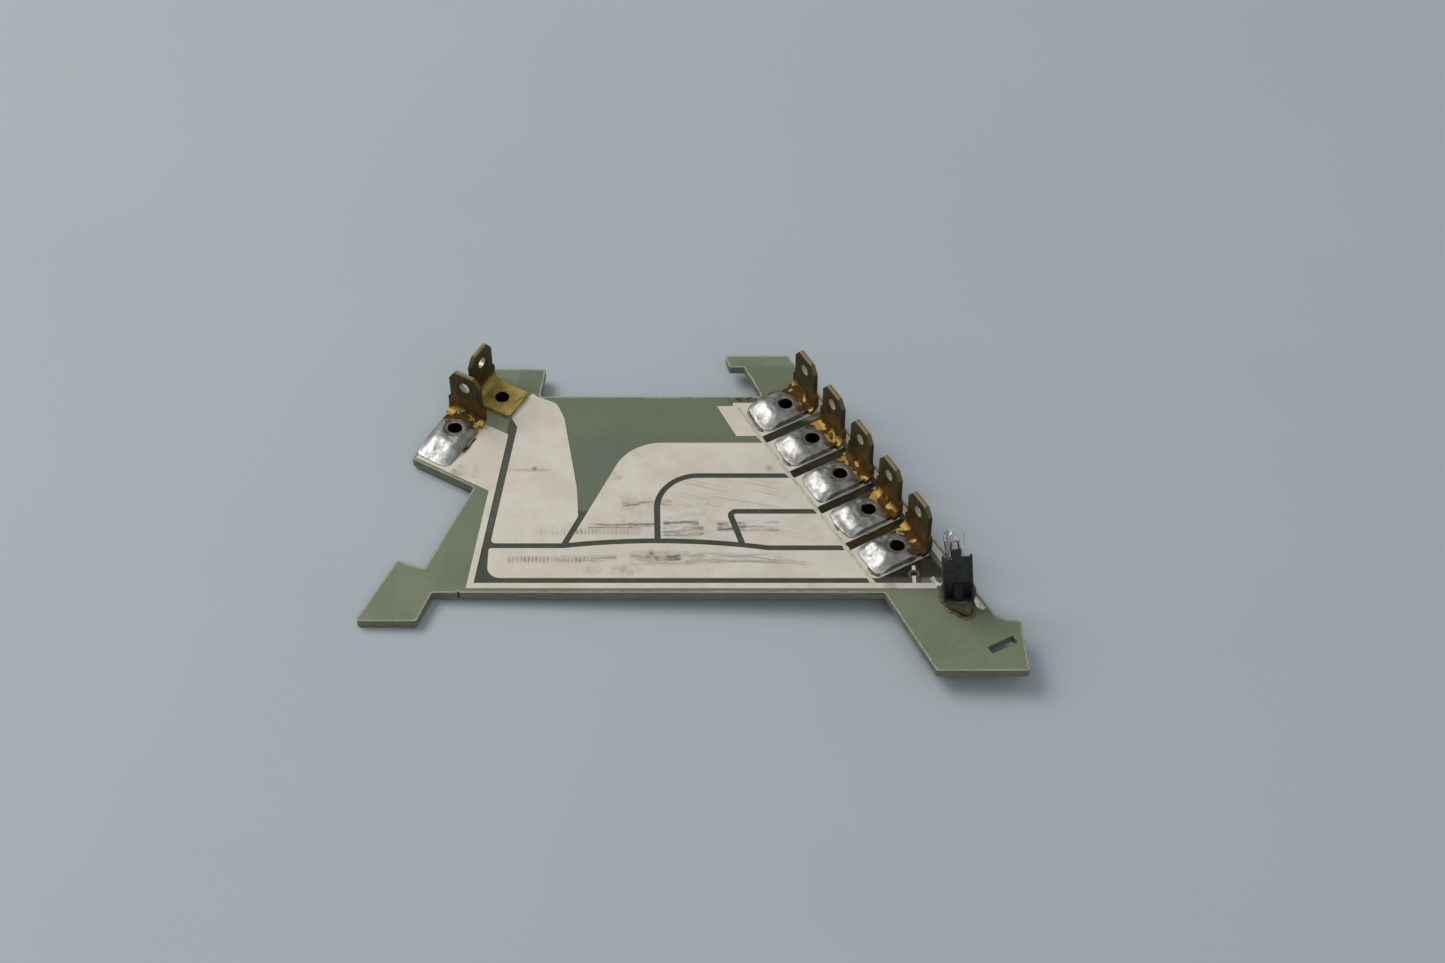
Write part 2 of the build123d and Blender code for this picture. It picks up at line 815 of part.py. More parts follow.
def make_lamp_holder():
    """The moulded socket: knob and lugs below, flange on the tracks, upright above."""
    base = (Align.CENTER, Align.CENTER, Align.MIN)
    spin = Rot(0, 0, lug_turn - edge_slant)
    shank_low = holder_below - lug_thick
    knob = Cylinder(knob_radius, shank_low, align=base)
    knob = fillet(knob.edges().group_by(Axis.Z)[0], radius=knob_ease)
    knob -= Box(2 * knob_radius + 1, driver_slot, 2 * driver_depth)
    lugs = Pos(0, 0, holder_below - lug_thick / 2) * Box(2 * lug_radius, lug_width, lug_thick)
    lugs = lugs & Pos(0, 0, holder_below) * Cylinder(lug_radius, reach_past)
    shank = Pos(0, 0, shank_low) * Cylinder(shank_radius, copper - shank_low, align=base)
    flange = Pos(0, 0, copper) * Cylinder(flange_radius, flange_height - track_thick, align=base)
    flange = chamfer(flange.edges().group_by(Axis.Z)[-1], length=flange_ease) + flange_grips()
    upright = holder_upright() + holder_crown() - holder_windows()
    upright -= bulb_bore()
    body = spin * (knob + lugs) + shank + flange + socket_lean() * upright
    return Pos(lamp_centre.X, lamp_centre.Y, 0) * body


def make_contact(side):
    """Sprung strip from the flange, kinked down to its track. The two are half a turn apart."""
    lower = [
        (strip_root, strip_rise),
        (flange_radius + 0.1, strip_rise),
        (strip_touch - strip_flat / 2, 0),
        (strip_touch + strip_flat / 2, 0),
        (strip_reach, strip_tip),
    ]
    upper = [(x, z + strip_thick) for x, z in reversed(lower)]
    shape = flat([*lower, *upper])
    arm = extrude(Plane.XZ * shape, amount=strip_width / 2, both=True)
    arm = Rot(0, 0, strip_turn + 180 * side) * Pos(0, strip_offset, 0) * arm
    arm = arm - Cylinder(flange_radius, reach_past)
    return Pos(lamp_centre.X, lamp_centre.Y, copper) * arm


def bulb_solid(radius, tip, foot):
    """Round barrel from a level up to a domed tip."""
    barrel = Pos(0, 0, foot) * Cylinder(
        radius, tip - radius - foot, align=(Align.CENTER, Align.CENTER, Align.MIN))
    dome = Pos(0, 0, tip - radius) * Sphere(radius)
    return barrel + dome


def make_bulb():
    """Clear glass bulb: thin dome over a pinched solid base."""
    glass = bulb_solid(bulb_radius, bulb_top, bulb_neck)
    glass -= bulb_solid(bulb_radius - glass_wall, bulb_top - glass_wall, bulb_neck + glass_floor)
    pinch = Pos(0, 0, bulb_foot + bulb_fit) * Box(
        2 * bulb_radius - 2 * bulb_fit, wedge_thick, wedge_height + glass_floor / 2,
        align=(Align.CENTER, Align.CENTER, Align.MIN))
    return lamp_frame() * (glass + pinch)


def make_filament():
    """Two lead wires and the coil across their ends."""
    foot = bulb_neck + glass_floor
    high = bulb_top - filament_drop
    wires = Part()
    for side in (-1, 1):
        wires += Pos(side * lead_spread, 0, foot) * Cylinder(
            lead_radius, high - foot, align=(Align.CENTER, Align.CENTER, Align.MIN))
    coil_length = 2 * (lead_spread + filament_overhang)
    coil = Pos(0, 0, high) * Rot(0, 90, 0) * Cylinder(filament_radius, coil_length)
    return lamp_frame() * (wires + coil)


def lamp_frame():
    """Frame of the bulb on the plate, in its leaning socket."""
    return Pos(lamp_centre.X, lamp_centre.Y, 0) * socket_lean() * bulb_frame()


def all_pieces():
    """Every piece by name."""
    pieces = {
        "board": make_board(),
        "lamp_feed_track": make_lamp_feed_track(),
        "ear_track": make_ear_track(),
        "row_track_1": make_row_track_1(),
        "row_track_2": make_row_track_2(),
        "row_track_3": make_row_track_3(),
        "row_track_4": make_row_track_4(),
        "row_track_5": make_row_track_5(),
        "stub_track": make_stub_track(),
        "lamp_holder": make_lamp_holder(),
        "lamp_contact_feed": make_contact(0),
        "lamp_contact_return": make_contact(1),
        "lamp_bulb": make_bulb(),
        "lamp_filament": make_filament(),
        "ear_terminal": make_terminal(terminals["ear"]),
        "wing_terminal": make_terminal(terminals["wing"]),
        "wing_solder": make_solder(terminals["wing"], wing_solder_reach),
    }
    for index in range(blade_count):
        place = terminals[f"row_{index + 1}"]
        pieces[f"row_terminal_{index + 1}"] = make_terminal(place)
        pieces[f"row_solder_{index + 1}"] = make_solder(place)
    return pieces


os.makedirs("parts", exist_ok=True)
for name, piece in all_pieces().items():
    export_step(piece, f"parts/{name}.step")
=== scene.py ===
import math

import bmesh
import bpy
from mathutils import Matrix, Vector, noise


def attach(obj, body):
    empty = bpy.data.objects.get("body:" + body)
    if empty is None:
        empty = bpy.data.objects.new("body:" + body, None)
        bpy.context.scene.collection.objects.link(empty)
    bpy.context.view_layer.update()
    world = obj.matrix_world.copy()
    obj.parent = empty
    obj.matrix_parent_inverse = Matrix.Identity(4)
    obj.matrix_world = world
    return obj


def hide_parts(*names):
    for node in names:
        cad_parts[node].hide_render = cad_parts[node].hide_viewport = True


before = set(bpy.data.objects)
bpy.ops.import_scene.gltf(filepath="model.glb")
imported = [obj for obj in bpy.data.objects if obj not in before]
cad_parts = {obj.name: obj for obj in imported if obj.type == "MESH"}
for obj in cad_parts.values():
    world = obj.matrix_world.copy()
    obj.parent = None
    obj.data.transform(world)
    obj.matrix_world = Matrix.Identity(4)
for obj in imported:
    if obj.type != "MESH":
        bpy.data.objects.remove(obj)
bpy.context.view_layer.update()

# Sizes of the part that the looks follow, in mm
MM = 0.001
PLAN = Vector((5.25, 5.5, 0))      # where the photograph's middle lies on the board
UNDER, TOP, COPPER = 3.0, 4.6, 4.72   # underside of the board, its top, top of the tracks
SHEET = 0.8                        # stock of the terminals
FOOT_TOE, FOOT_HALF = 3.45, 3.15   # from a terminal's hole to the end and side of its foot
BORE = 1.37                        # radius of a terminal's opening, where its solder begins
BLADE_HOLE = TOP + 7.75            # height of the small hole in a blade
BLADE_HOLE_RADIUS = 1.0
EYELET_DROP = 0.77                 # how far the eyelets reach below the board

# The slanted right edge: its back end, the way down it and the way out of it
SLANT = math.radians(60)
EDGE_END = Vector((16.764, 34.6))
ALONG = Vector((math.cos(SLANT), -math.sin(SLANT)))
OUT = Vector((math.sin(SLANT), math.cos(SLANT)))
ROW_FIRST, ROW_PITCH, ROW_INSET = 10.4, 9.15, 6.6
LAMP_DOWN, LAMP_IN = 60.4, 3.2
PADS_BEGIN, PADS_END, PAD_ROOT = 5.6, 52.0, 13.9

# The slanted left edge, from the corner of the ear down the wing
EAR_CORNER = Vector((-36.25, 31.4))
WING_DOWN = Vector((-math.cos(SLANT), -math.sin(SLANT)))
WING_IN = Vector((math.sin(SLANT), -math.cos(SLANT)))
EAR_HOLE_DOWN, EAR_HOLE_IN = 4.9, 6.3
WING_HOLE_DOWN, WING_HOLE_IN = 15.1, 3.25

# Other places on the board
LEFT_LEG_TIP = Vector((-54.6, -23.9))
PIN_HOLE = Vector((37.15, -14.60))

# Middle of the feed line up the left side, on the photograph's plan, and its slant
FEED_LINE, FEED_SLANT = -39.02, 0.1317


def on_edge(distance, inset):
    """Point that far down the right edge and that far inside it."""
    return EDGE_END + ALONG * distance - OUT * inset


def terminal_places():
    """Hole and blade direction of each terminal."""
    places = {}
    for i in range(5):
        places[f"row_{i + 1}"] = (on_edge(ROW_FIRST + ROW_PITCH * i, ROW_INSET), 30.0)
    ear = EAR_CORNER + WING_DOWN * EAR_HOLE_DOWN + WING_IN * EAR_HOLE_IN
    wing = EAR_CORNER + WING_DOWN * WING_HOLE_DOWN + WING_IN * WING_HOLE_IN
    places["ear"] = (ear, 150.0)
    places["wing"] = (wing, 60.0)
    return places


PLACES = terminal_places()
LAMP = on_edge(LAMP_DOWN, LAMP_IN)


def world_point(place, u, v, z):
    """A point given along and across a terminal, in metres."""
    centre, turn = place
    a = math.radians(turn)
    x = centre.x + u * math.cos(a) - v * math.sin(a)
    y = centre.y + u * math.sin(a) + v * math.cos(a)
    return Vector((x, y, z)) * MM


def at_place(place, pairs):
    """Plan points in mm from places along and across a terminal."""
    return [(world_point(place, u, v, 0) / MM).xy for u, v in pairs]


# Materials
SOCKET = {
    "color": "Base Color", "metal": "Metallic", "rough": "Roughness", "ior": "IOR",
    "clear": "Transmission Weight", "coat": "Coat Weight", "coat_rough": "Coat Roughness",
    "spec": "Specular IOR Level", "normal": "Normal",
}


class Paint:
    """One material, with its nodes worked in mm on the photograph's plan."""

    def __init__(self, name, **constants):
        self.mat = bpy.data.materials.new(name)
        self.mat.use_nodes = True
        self.nodes = self.mat.node_tree.nodes
        self.links = self.mat.node_tree.links
        self.bsdf = self.nodes["Principled BSDF"]
        for key, value in constants.items():
            self.put(value, self.bsdf.inputs[SOCKET[key]])
        coords = self.nodes.new("ShaderNodeTexCoord").outputs["Object"]
        big = self.vector("SCALE", coords, scale=1 / MM)
        self.mm = self.vector("SUBTRACT", big, PLAN)
        split = self.nodes.new("ShaderNodeSeparateXYZ")
        self.links.new(self.mm, split.inputs[0])
        self.x, self.y, self.z = split.outputs
        geometry = self.nodes.new("ShaderNodeNewGeometry")
        facing = self.nodes.new("ShaderNodeSeparateXYZ")
        self.links.new(geometry.outputs["True Normal"], facing.inputs[0])
        self.up = facing.outputs[2]

    def put(self, value, socket):
        """Feeds a socket from another one, or sets it to a constant."""
        if isinstance(value, bpy.types.NodeSocket):
            self.links.new(value, socket)
        elif isinstance(value, (tuple, list, Vector)) and socket.type == "RGBA":
            socket.default_value = (*value, 1.0)
        else:
            socket.default_value = value

    def vector(self, kind, a, b=None, scale=None):
        node = self.nodes.new("ShaderNodeVectorMath")
        node.operation = kind
        self.put(a, node.inputs[0])
        if b is not None:
            self.put(b, node.inputs[1])
        if scale is not None:
            node.inputs["Scale"].default_value = scale
        return node.outputs["Value"] if kind == "LENGTH" else node.outputs["Vector"]

    def calc(self, kind, a, b=0.0):
        node = self.nodes.new("ShaderNodeMath")
        node.operation = kind
        self.put(a, node.inputs[0])
        self.put(b, node.inputs[1])
        return node.outputs[0]

    def plus(self, a, b):
        return self.calc("ADD", a, b)

    def minus(self, a, b):
        return self.calc("SUBTRACT", a, b)

    def times(self, *values):
        result = values[0]
        for value in values[1:]:
            result = self.calc("MULTIPLY", result, value)
        return result

    def most(self, *values):
        result = values[0]
        for value in values[1:]:
            result = self.calc("MAXIMUM", result, value)
        return result

    def step(self, value, low, high, to_low=0.0, to_high=1.0):
        """Smooth ramp from one number to another, between two values."""
        node = self.nodes.new("ShaderNodeMapRange")
        node.interpolation_type = "SMOOTHSTEP"
        self.put(value, node.inputs[0])
        for socket, number in zip(node.inputs[1:5], (low, high, to_low, to_high)):
            socket.default_value = number
        return node.outputs[0]

    def band(self, value, low, high, soft):
        """One between two values, falling to nothing outside them."""
        rise = self.step(value, low - soft, low)
        fall = self.step(value, high, high + soft, 1.0, 0.0)
        return self.times(rise, fall)

    def patch(self, left, right, front, back, soft):
        """Soft-edged box on the plan."""
        return self.times(self.band(self.x, left, right, soft), self.band(self.y, front, back, soft))

    def spot(self, x, y, radius, soft):
        """Soft-edged round spot at the level of the copper."""
        away = self.vector("LENGTH", self.vector("SUBTRACT", self.mm, (x, y, COPPER)))
        return self.step(away, radius - soft, radius + soft, 1.0, 0.0)

    def noise(self, scale, detail=3.0, rough=0.55, twist=0.0, stretch=None, turn=0.0, shift=0.0):
        """Cloudy pattern, on a plan that can be turned, stretched and moved."""
        where = self.mm
        if turn:
            node = self.nodes.new("ShaderNodeVectorRotate")
            node.rotation_type = "Z_AXIS"
            self.put(where, node.inputs["Vector"])
            self.put(math.radians(turn), node.inputs["Angle"])
            where = node.outputs[0]
        if stretch:
            where = self.vector("MULTIPLY", where, stretch)
        if shift:
            where = self.vector("ADD", where, (shift, shift * 1.7, shift * 0.6))
        node = self.nodes.new("ShaderNodeTexNoise")
        self.put(where, node.inputs["Vector"])
        for socket, number in (("Scale", scale), ("Detail", detail), ("Roughness", rough),
                               ("Distortion", twist)):
            node.inputs[socket].default_value = number
        return node.outputs[0]

    def mix(self, share, a, b):
        """First colour where the share is nothing, second where it is one."""
        node = self.nodes.new("ShaderNodeMix")
        node.data_type = "RGBA"
        self.put(share, node.inputs[0])
        self.put(a, node.inputs[6])
        self.put(b, node.inputs[7])
        return node.outputs[2]

    def between(self, value, low, high, a, b):
        """First colour where the value is low, second where it is high."""
        return self.mix(self.step(value, low, high), a, b)

    def bump(self, height, strength, distance, below=None):
        """Normal of a fine relief, laid over a coarser one where that is given."""
        node = self.nodes.new("ShaderNodeBump")
        node.inputs["Strength"].default_value = strength
        node.inputs["Distance"].default_value = distance * MM
        self.put(height, node.inputs["Height"])
        if below is not None:
            self.put(below, node.inputs["Normal"])
        return node.outputs[0]

    def finish(self, **values):
        """The material, with what was worked out fed into its surface."""
        for key, value in values.items():
            self.put(value, self.bsdf.inputs[SOCKET[key]])
        return self.mat


def slits(p, past_feed):
    """Where the narrow gaps between the tracks lie, in which the board shows dark."""
    beside = p.times(p.band(past_feed, 0.3, 2.1, 0.3), p.band(p.y, -22.5, 13.5, 0.6), 0.75)
    low = p.times(p.patch(-42, 33, -22.4, -11.4, 0.4), p.step(past_feed, 0.3, 0.6))
    side = p.times(p.patch(-33, -20, -13, -7.0, 1.0), 0.9)
    middle = p.patch(-13.0, 40, -13.0, 3.7, 0.5)
    return p.most(beside, low, side, middle)


def row_gaps(p):
    """Strip inside the right edge, in which the pads of the row stand."""
    inset = p.plus(p.times(p.minus(EDGE_END.x - PLAN.x, p.x), OUT.x),
                   p.times(p.minus(EDGE_END.y - PLAN.y, p.y), OUT.y))
    return p.times(p.band(inset, 2.6, 13.4, 0.5), p.band(p.y, -20.5, 13.5, 0.8), 0.9)


def laminate():
    """Pale olive-green board, dark in the narrow gaps, tan at its cut edges."""
    p = Paint("laminate")
    cloud = p.noise(0.12, 4)
    grain = p.noise(2.4, 3, 0.7)
    warp = p.noise(3.2, 1, stretch=(1, 0.12, 1))
    weft = p.noise(3.2, 1, stretch=(0.12, 1, 1))
    weave = p.plus(warp, weft)
    face = p.between(cloud, 0.35, 0.65, (0.146, 0.174, 0.102), (0.176, 0.204, 0.126))
    face = p.mix(p.step(grain, 0.3, 0.75, 0.0, 0.3), face, (0.125, 0.150, 0.095))
    face = p.mix(p.step(weave, 0.8, 1.25, 0.0, 0.15), face, (0.215, 0.240, 0.165))
    # under the lacquer between the tracks, right of the feed line, the board is darker
    past_feed = p.minus(p.minus(p.x, FEED_LINE), p.times(p.y, FEED_SLANT))
    body = p.times(p.band(p.y, -22.6, 26.0, 1.2), p.step(past_feed, -0.6, 0.6))
    beside = p.times(p.band(p.y, -21.0, 8.0, 5.0), p.step(past_feed, -9.0, -1.0))
    face = p.mix(p.times(body, 0.62), face, (0.105, 0.128, 0.084))
    face = p.mix(p.times(beside, 0.3), face, (0.085, 0.110, 0.080))
    grime = p.step(p.noise(0.8, 4), 0.3, 0.7, 0.8, 1.0)
    face = p.mix(p.times(slits(p, past_feed), grime), face, (0.032, 0.041, 0.029))
    # painted shade, with brown old flux, between the pads of the row
    gaps = row_gaps(p)
    shade_and_flux_cloud = p.noise(0.6, 3, 0.6, shift=4.0)
    shade_and_flux = p.between(shade_and_flux_cloud, 0.35, 0.65, (0.014, 0.015, 0.009), (0.040, 0.025, 0.010))
    face = p.mix(gaps, face, shade_and_flux)
    # paler ring of lacquer round the small hole
    hole = PIN_HOLE - PLAN.xy
    collar = p.minus(p.spot(hole.x, hole.y, 0.95, 0.2), p.spot(hole.x, hole.y, 0.6, 0.1))
    face = p.mix(p.times(collar, 0.5), face, (0.200, 0.205, 0.160))
    # burnt flux at the back edge, by the first blade
    scorch = p.times(p.patch(1.4, 6.8, 17.8, 20, 0.8), p.step(p.noise(0.5, 3), 0.25, 0.6), 0.6)
    face = p.mix(scorch, face, (0.10, 0.055, 0.020))
    layers = p.noise(1.0, 2, stretch=(0.4, 0.4, 9.0))
    cut = p.between(layers, 0.35, 0.7, (0.112, 0.108, 0.066), (0.235, 0.225, 0.150))
    color = p.between(p.calc("ABSOLUTE", p.up), 0.4, 0.7, cut, face)
    rough = p.step(p.noise(0.9, 3), 0.3, 0.7, 0.38, 0.6)
    normal = p.bump(grain, 0.2, 0.03, p.bump(weave, 0.25, 0.03))
    spec = p.minus(0.4, p.times(gaps, 0.36))
    return p.finish(color=color, rough=rough, spec=spec, normal=normal)


# Wear on the tracks. Each row is a soft-edged box on the photograph's plan, in mm: its left,
# right, front and back, how softly it ends, the pattern in it and how strong that is.
TOOTHED_RUNS = (
    (-35.5, -20.8, -17.4, -16.9, 0.8, "teeth", 0.80),
    (-24.5, -16.0, -11.4, -10.9, 0.7, "teeth", 0.74),
    (-31.5, -26.5, -11.4, -11.0, 0.8, "teeth", 0.42),
)
STREAKS = (
    (-28.0, -18.0, -17.2, -16.5, 0.6, "streak", 0.6),
    (-15.2, -7.2, -17.3, -16.3, 0.5, "dark", 0.95),
    (-15.0, -3.0, -17.8, -15.9, 0.9, "smudge", 0.5),
    (-4.0, 9.5, -17.6, -16.2, 0.7, "streak", 0.5),
    (-22.5, -11.8, -10.2, -9.5, 0.4, "streak", 0.85),
    (-15.8, -11.6, -9.9, -9.4, 0.3, "dark", 1.0),
    (-16.8, -8.9, -5.4, -4.5, 0.5, "dark", 0.8),
    (-9.8, -4.2, -9.5, -8.9, 0.4, "dark", 0.85),
    (-9.8, -3.4, -11.9, -9.9, 0.5, "dark", 0.75),
    (-0.6, 3.6, -10.7, -9.3, 0.7, "dark and smudge", 1.0),
    (3.8, 9.2, -10.8, -9.2, 0.6, "dark", 0.6),
    (-17.0, -2.0, -12.0, -4.0, 1.8, "haze", 0.25),
)
STAINS = (
    (-22.4, -20.9, -19.6, -19.1, 1.2, "mottle", 0.45),
    (-17.8, -14.2, -19.8, -19.0, 1.4, "mottle", 0.5),
    (-45.8, -42.6, 1.6, 3.0, 1.4, "blotch", 0.7),
    (-37.0, -29.5, 2.3, 2.7, 0.3, "streak", 0.55),
    (-17.0, -14.6, 5.4, 8.0, 0.8, "blotch", 0.30),
    (-20.0, -17.5, 0.6, 2.0, 0.7, "blotch", 0.45),
    (26.8, 30.0, -24.0, -22.0, 0.4, "blotch", 0.6),
)
# Middle of each spot of the slider's knot, and its radius
KNOT = ((-11.9, -16.1, 0.75), (-12.7, -16.8, 0.6), (-10.9, -16.9, 0.55))
# Front-to-back place of the slider's thin drawn-out lines, and their slant
LOOP_LINES = ((-16.1, -0.12), (-17.1, -0.08))
TOOTH_PITCH = 0.66


def worn(p, rows, patterns):
    """The strongest of a list of worn places."""
    return p.most(*[p.times(p.patch(*box), patterns[kind], strength)
                    for *box, kind, strength in rows])


def wear_patterns(p):
    """Patterns of the wear, by the names that the lists use."""
    wobble = p.times(p.noise(0.35, 3), 5.0)
    teeth = p.calc("SINE", p.plus(p.times(p.x, 2 * math.pi / TOOTH_PITCH), wobble))
    teeth = p.step(teeth, -1.0, 1.0, 0.25, 1.0)
    broken = p.step(p.noise(0.5, 3, 0.6), 0.32, 0.66, 0.25, 1.0)
    dark = p.step(p.noise(1.0, 5, 0.65, 0.4, (0.26, 2.0, 1), -4, 21.0), 0.43, 0.58)
    smudge = p.step(p.noise(0.9, 5, 0.7, 0.3, (0.5, 1.2, 1), 2, 33.0), 0.36, 0.62)
    thin = p.step(p.noise(0.45, 3, 0.6, shift=5.0), 0.38, 0.62)
    return {
        "teeth": p.times(teeth, broken),
        "streak": p.step(p.noise(1.0, 5, 0.65, 0.3, (0.20, 1.5, 1), 0, 4.0), 0.38, 0.62),
        "dark": dark,
        "smudge": smudge,
        "dark and smudge": p.most(dark, p.times(smudge, 0.8)),
        "haze": p.times(smudge, thin),
        "blotch": p.step(p.noise(0.5, 2, 0.5), 0.30, 0.74),
        "mottle": p.step(p.noise(0.7, 2, 0.5, shift=8.0), 0.30, 0.70),
    }


def scratches(p):
    """Fine scratches slanting over the middle tracks."""
    lines = p.step(p.noise(1.0, 2, 0.5, 0.25, (0.07, 3.2, 1), 12), 0.54, 0.72)
    deep = p.step(p.noise(1.0, 2, 0.5, 0.3, (0.05, 5.0, 1), 17, 9.0), 0.58, 0.72)
    over = p.most(p.patch(-6, 9, -5, -0.3, 2.5), p.times(p.patch(1, 12, -13, -9, 2.0), 0.8),
                  p.times(p.patch(-10, 14, -12, 2, 3.0), 0.4))
    return p.times(p.most(p.times(lines, 0.6), p.times(deep, 0.85)), over)


def loop_line(p, start, slope, fine):
    """One of the thin lines drawn out at the right end of the slider's path."""
    wander = p.times(p.minus(p.noise(0.16, 2, 0.5, shift=2.0), 0.5), 1.6)
    off = p.plus(p.minus(p.y, p.plus(start, p.times(p.x, slope))), wander)
    line = p.times(p.band(off, -0.05, 0.05, 0.13), p.band(p.x, -2.5, 13.5, 1.0), 0.6)
    return p.times(line, p.step(fine, 0.3, 0.55))


def slider_marks(p, patterns, fine):
    """What the slider's fingers left: toothed runs, streaks, a knot and thin lines."""
    ragged = p.step(p.noise(1.4, 4, 0.7), 0.30, 0.55)
    knot = p.times(p.most(*[p.spot(x, y, radius, 0.7) for x, y, radius in KNOT]), ragged)
    lines = [loop_line(p, start, slope, fine) for start, slope in LOOP_LINES]
    return p.most(worn(p, TOOTHED_RUNS, patterns), worn(p, STREAKS, patterns), *lines, knot)


def tinned():
    """Cream-white tinned copper with the slider's rub marks, scratches and stains."""
    p = Paint("tinned_copper", spec=0.35, metal=0.12)
    cloud = p.noise(0.16, 4)
    fine = p.noise(1.9, 4, 0.7)
    color = p.between(cloud, 0.35, 0.65, (0.600, 0.552, 0.466), (0.655, 0.613, 0.535))
    color = p.mix(p.step(fine, 0.45, 0.8, 0.0, 0.22), color, (0.430, 0.370, 0.290))
    pits = p.step(p.noise(1.1, 5, 0.75), 0.64, 0.74, 0.0, 0.5)
    color = p.mix(pits, color, (0.30, 0.25, 0.19))
    color = p.mix(p.times(scratches(p), 0.55), color, (0.190, 0.150, 0.110))
    patterns = wear_patterns(p)
    marks = slider_marks(p, patterns, fine)
    color = p.mix(p.times(marks, 0.88), color, (0.062, 0.054, 0.046))
    # brown stains, one small spot among them, and one dark speck on the ear's track
    stains = p.most(worn(p, STAINS, patterns), p.times(p.spot(8.0, 2.9, 0.5, 0.6), 0.6))
    color = p.mix(stains, color, (0.215, 0.155, 0.085))
    color = p.mix(p.times(p.spot(-32.2, 2.8, 0.35, 0.45), 0.85), color, (0.07, 0.06, 0.045))
    tint = p.times(p.step(p.noise(0.3, 4, 0.6, shift=12.0), 0.42, 0.7), 0.30)
    color = p.mix(tint, color, (0.520, 0.445, 0.330))
    rough = p.step(p.noise(0.5, 4), 0.3, 0.7, 0.45, 0.62)
    relief = p.plus(p.times(fine, 0.5), p.times(cloud, 0.8))
    return p.finish(color=color, rough=rough, normal=p.bump(relief, 0.35, 0.05))


def blade_hole(p, centre, turn):
    """Painted highlight on the wall of the small hole in a blade, bright below and faint above."""
    angle = math.radians(turn)
    aside = p.plus(p.times(p.minus(p.x, centre.x), -math.sin(angle)),
                   p.times(p.minus(p.y, centre.y), math.cos(angle)))
    above = p.minus(p.z, BLADE_HOLE)
    off = p.calc("SQRT", p.plus(p.times(aside, aside), p.times(above, above)))
    wall = p.step(off, BLADE_HOLE_RADIUS, BLADE_HOLE_RADIUS + 0.06, 1.0, 0.0)
    return p.times(wall, p.step(above, -0.1, 0.6, 1.0, 0.15))


def eyelet_bore(p, centre):
    """Inside of the eyelet that a terminal is riveted with, where painted shade goes."""
    away = p.vector("SUBTRACT", p.mm, (centre.x, centre.y, 0))
    away = p.vector("LENGTH", p.vector("MULTIPLY", away, (1, 1, 0)))
    return p.times(p.step(away, BORE - 0.10, BORE - 0.05, 1.0, 0.0),
                   p.band(p.z, UNDER - 0.4, COPPER + SHEET - 0.05, 0.05))


def brass(name, place, clean):
    """Tarnished brass, golden by the bend, olive-brown up the blade, with painted highlights on its
    top edges and in its small hole and painted shade in its bore.
    """
    p = Paint(name, metal=1.0)
    centre = place[0] - PLAN.xy
    cloud = p.noise(0.55, 4, 0.6, 0.4, shift=centre.x)
    patches = p.noise(0.48, 2, 0.5, 0.6, shift=centre.y * 1.3)
    fine = p.noise(4.5, 3, 0.6, stretch=(1, 1, 0.35))
    olive = p.between(cloud, 0.35, 0.68, (0.054, 0.042, 0.015), (0.108, 0.085, 0.032))
    runs = p.noise(1.0, 3, 0.6, 0.2, (1.6, 1.6, 0.12), shift=centre.x)
    olive = p.mix(p.step(runs, 0.45, 0.7, 0.0, 0.5), olive, (0.155, 0.125, 0.050))
    rust = p.between(fine, 0.3, 0.7, (0.075, 0.042, 0.015), (0.170, 0.105, 0.036))
    if clean:
        gold = p.between(cloud, 0.35, 0.65, (0.440, 0.330, 0.095), (0.530, 0.420, 0.150))
        low = p.mix(p.step(patches, 0.60, 0.72, 0.0, 0.5), gold, rust)
    else:
        gold = p.between(cloud, 0.35, 0.65, (0.470, 0.315, 0.075), (0.580, 0.430, 0.160))
        low = p.between(patches, 0.51, 0.56, rust, gold)
    bend = p.step(p.z, COPPER + 1.2, COPPER + 3.2)
    color = p.mix(bend, low, olive)
    burnt = p.band(p.z, COPPER + 2.4, COPPER + 4.4, 1.0)
    burnt = p.times(burnt, p.step(patches, 0.42, 0.55), 0.3 if clean else 0.7)
    color = p.mix(burnt, color, (0.185, 0.088, 0.024))
    spots = p.step(p.noise(1.6, 4, 0.7, shift=centre.y), 0.55, 0.7, 0.0, 0.5 if clean else 0.75)
    color = p.mix(spots, color, (0.075, 0.052, 0.022))
    # painted highlight on the up-facing top edges of the blade
    tip = p.times(p.step(p.up, 0.3, 0.8), p.step(p.z, COPPER + 8.5, COPPER + 9.2))
    color = p.mix(p.times(tip, 0.6), color, (0.420, 0.330, 0.190))
    # painted highlight on the wall of the blade's small hole
    color = p.mix(blade_hole(p, centre, place[1]), color, (0.540, 0.500, 0.410))
    # painted shade inside the eyelet's bore
    inside = eyelet_bore(p, centre)
    color = p.mix(inside, color, (0.028, 0.022, 0.013))
    # dull where it is brown by the bend, and in the bore
    rough = p.step(cloud, 0.3, 0.7, 0.30 if clean else 0.46, 0.60)
    dull = p.times(p.step(patches, 0.50, 0.58, 0.30, 0.16), p.step(bend, 0.0, 1.0, 1.0, 0.0))
    rough = p.plus(p.plus(rough, dull), p.times(inside, 0.4))
    brushed = p.noise(1.0, 2, 0.5, 0, (0.5, 0.5, 9.0))
    normal = p.bump(p.plus(fine, p.times(brushed, 0.6)), 0.3, 0.03)
    return p.finish(color=color, rough=rough, normal=normal)


